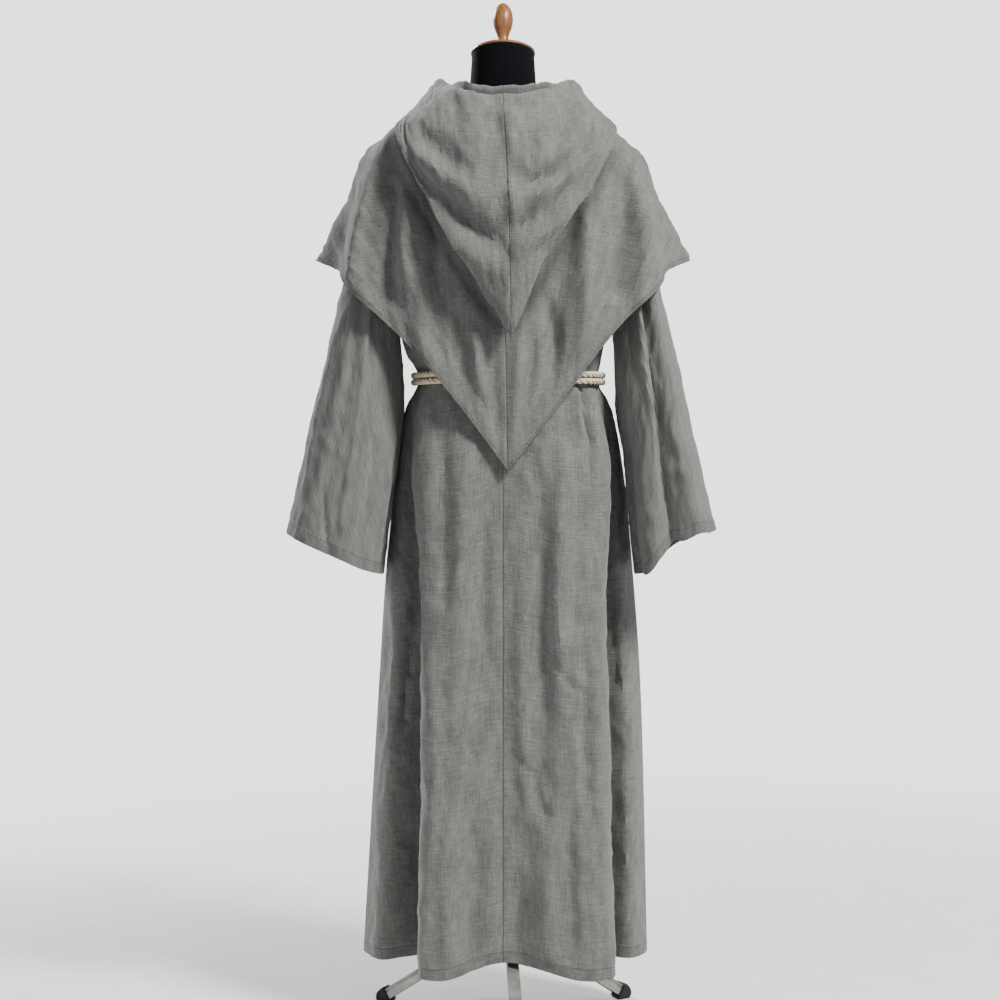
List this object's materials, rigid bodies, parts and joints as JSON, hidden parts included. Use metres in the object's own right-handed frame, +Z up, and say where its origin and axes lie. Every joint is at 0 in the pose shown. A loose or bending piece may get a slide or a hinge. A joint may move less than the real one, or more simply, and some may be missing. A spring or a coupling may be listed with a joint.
{
  "type": "monk habit on a dress form",
  "caption": "Full-length linen monk habit with a hooded, pointed shoulder cape, wide bell sleeves and a rope belt, worn empty on a limbless dress form with a tripod stand.",
  "frame": {"origin": "on the floor in the middle of the footprint, 28 mm behind the pole's axis as the wearer stands", "axes": "+Z up, +Y out of the wearer's back, +X to the wearer's left"},
  "size_m": [0.717, 0.4433, 1.7188],
  "materials": {
    "linen": "heathered grey slub linen, plain weave, matt, softly creased",
    "rope": "three-strand cream cotton rope",
    "cover": "black jersey cover, matt",
    "wood": "orange-brown turned wood, satin varnish",
    "metal": "grey channel metal, satin",
    "rubber": "black moulded rubber, matt"
  },
  "bodies": {
    "root": {"robe_back_left": "linen", "robe_back_right": "linen", "robe_front": "linen", "sleeve_left": "linen", "sleeve_right": "linen", "cape_left": "linen", "cape_right": "linen", "hood_left": "linen", "hood_right": "linen", "rope_turn_upper": "rope", "rope_turn_lower": "rope", "rope_knot": "rope", "rope_end_left": "rope", "rope_end_right": "rope", "rope_end_knot_left": "rope", "rope_end_knot_right": "rope", "dress_form": "cover", "neck_cap": "wood", "finial": "wood", "pole": "metal", "stand_hub": "metal", "leg_1": "metal", "leg_2": "metal", "leg_3": "metal", "foot_1": "rubber", "foot_2": "rubber", "foot_3": "rubber"}
  },
  "joints": []
}
